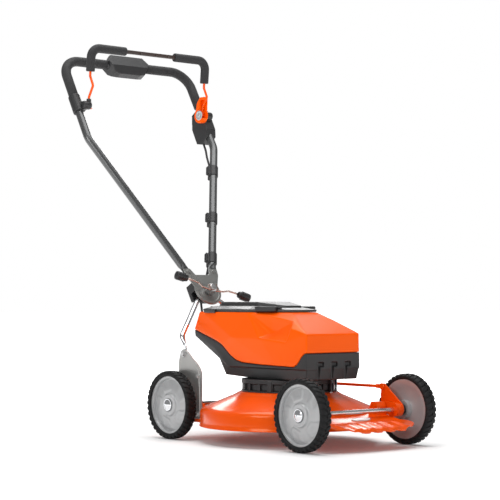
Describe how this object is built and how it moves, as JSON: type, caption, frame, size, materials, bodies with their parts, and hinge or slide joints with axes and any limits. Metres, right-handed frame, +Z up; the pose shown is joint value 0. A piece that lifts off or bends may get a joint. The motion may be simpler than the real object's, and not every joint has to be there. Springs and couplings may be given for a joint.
{
  "type": "battery rotary lawn mower",
  "caption": "Walk-behind battery mulching mower with a round deck, folding-angle tube handle, spring bail, linked height adjustment and a hinged battery lid.",
  "frame": {"origin": "on the ground plane, under the middle of the whole mower's length and width", "axes": "+Z up, -Y to the mower's front, +X to the left of the operator who stands behind it"},
  "size_m": [0.539, 1.2089, 1.2079],
  "materials": {
    "orange_paint": "gloss powder coat",
    "orange_plastic": "gloss moulded",
    "charcoal_plastic": "fine moulded texture",
    "black_plastic": "matt",
    "grey_tube": "satin metallic paint",
    "steel_grey": "satin",
    "bracket_steel": "zinc plated",
    "chrome": "polished",
    "bare_steel": "machined",
    "tyre": "matt",
    "rim_plastic": "satin",
    "foam": "matt foam",
    "copper": "wound wire",
    "badge": "satin",
    "cable": "satin"
  },
  "bodies": {
    "chassis": {"deck_shell": "orange_paint", "deck_badge": "badge", "pivot_blocks": "orange_paint", "handle_bracket_right": "bracket_steel", "handle_bracket_left": "bracket_steel", "bracket_bolts": "bracket_steel", "support_tube": "chrome", "motor_collar": "black_plastic", "motor_stator": "copper", "lower_cowl": "charcoal_plastic", "top_cover": "orange_plastic", "battery_well": "black_plastic", "battery_pack": "charcoal_plastic", "controller_box": "badge", "cover_screws": "bracket_steel", "cable_tail": "cable"},
    "front_axle_set": {"front_axle": "chrome", "front_crank_right": "orange_paint", "front_crank_left": "orange_paint", "front_hub_caps": "chrome"},
    "rear_axle_set": {"rear_axle": "chrome", "rear_crank_right": "orange_paint", "rear_crank_left": "orange_paint", "rear_hub_caps": "chrome", "height_lever": "charcoal_plastic"},
    "height_link": {"link_rod": "orange_paint"},
    "rotor": {"motor_shaft": "bare_steel", "rotor_bell": "steel_grey", "blade_carrier": "steel_grey", "blade": "bare_steel", "blade_bolt": "bare_steel"},
    "lid": {"battery_lid": "charcoal_plastic"},
    "clamp_block": {"handle_clamp": "black_plastic", "swing_bolt": "bare_steel"},
    "handle": {"handle_tube": "grey_tube", "swing_plate": "steel_grey", "foam_grip": "foam", "grip_console": "charcoal_plastic", "bail_clamp": "charcoal_plastic", "switch_box": "charcoal_plastic", "cable_clips": "black_plastic", "control_cable": "cable"},
    "lock_lever": {"clamp_lever": "bare_steel", "clamp_knobs": "black_plastic"},
    "bail": {"bail_wire": "orange_paint", "bail_grips": "foam", "start_lever": "orange_plastic"},
    "start_button": {"power_button": "orange_plastic"},
    "front_right_wheel": {"front_right_tyre": "tyre", "front_right_rim": "rim_plastic", "front_right_bearing": "bare_steel"},
    "front_left_wheel": {"front_left_tyre": "tyre", "front_left_rim": "rim_plastic", "front_left_bearing": "bare_steel"},
    "rear_right_wheel": {"rear_right_tyre": "tyre", "rear_right_rim": "rim_plastic", "rear_right_bearing": "bare_steel"},
    "rear_left_wheel": {"rear_left_tyre": "tyre", "rear_left_rim": "rim_plastic", "rear_left_bearing": "bare_steel"}
  },
  "joints": [
    {"name": "front_crank", "type": "hinge", "parent": "chassis", "child": "front_axle_set", "pos_m": [0, -0.4635, 0.108], "axis": [1, 0, 0], "range_deg": [-29, 0]},
    {"name": "rear_crank", "type": "hinge", "parent": "chassis", "child": "rear_axle_set", "pos_m": [0, 0.1065, 0.108], "axis": [1, 0, 0], "range_deg": [-29, 0]},
    {"name": "link_pivot", "type": "hinge", "parent": "front_axle_set", "child": "height_link", "pos_m": [0, -0.4445, 0.163], "axis": [1, 0, 0], "range_deg": [0, 29]},
    {"name": "front_right_wheel_spin", "type": "hinge", "parent": "front_axle_set", "child": "front_right_wheel", "pos_m": [-0.201, -0.5015, 0.1], "axis": [1, 0, 0], "continuous": true},
    {"name": "front_left_wheel_spin", "type": "hinge", "parent": "front_axle_set", "child": "front_left_wheel", "pos_m": [0.201, -0.5015, 0.1], "axis": [1, 0, 0], "continuous": true},
    {"name": "rear_right_wheel_spin", "type": "hinge", "parent": "rear_axle_set", "child": "rear_right_wheel", "pos_m": [-0.201, 0.0685, 0.1], "axis": [1, 0, 0], "continuous": true},
    {"name": "rear_left_wheel_spin", "type": "hinge", "parent": "rear_axle_set", "child": "rear_left_wheel", "pos_m": [0.201, 0.0685, 0.1], "axis": [1, 0, 0], "continuous": true},
    {"name": "blade_spin", "type": "hinge", "parent": "chassis", "child": "rotor", "pos_m": [0, -0.2215, 0.06], "axis": [0, 0, 1], "continuous": true},
    {"name": "lid_hinge", "type": "hinge", "parent": "chassis", "child": "lid", "pos_m": [0, 0.0435, 0.379], "axis": [-1, 0, 0], "range_deg": [0, 85]},
    {"name": "handle_tilt", "type": "hinge", "parent": "chassis", "child": "clamp_block", "pos_m": [0, 0.15414, 0.41462], "axis": [1, 0, 0], "range_deg": [-20, 0], "deforming": ["cable_tail"]},
    {"name": "handle_swing", "type": "hinge", "parent": "clamp_block", "child": "handle", "pos_m": [0, 0.14746, 0.43112], "axis": [0, -0.8678, 0.497], "range_deg": [-15, 15], "deforming": ["control_cable"]},
    {"name": "lock_lever_turn", "type": "hinge", "parent": "clamp_block", "child": "lock_lever", "pos_m": [0, 0.12403, 0.44454], "axis": [0, -0.8678, 0.497], "range_deg": [-20, 25]},
    {"name": "bail_hinge", "type": "hinge", "parent": "handle", "child": "bail", "pos_m": [0, 0.4586, 1.01465], "axis": [-1, 0, 0], "range_deg": [0, 33], "stiffness_Nm_per_rad": 2, "springref_deg": -17.19},
    {"name": "start_button_press", "type": "slide", "parent": "handle", "child": "start_button", "axis": [0, -0.9139, -0.4059], "range_m": [0, 0.003], "stiffness_N_per_m": 600, "springref_m": -0.001}
  ],
  "couplings": [
    {"joint": "rear_crank", "follows": "front_crank", "ratio": 1},
    {"joint": "link_pivot", "follows": "front_crank", "ratio": -1}
  ]
}
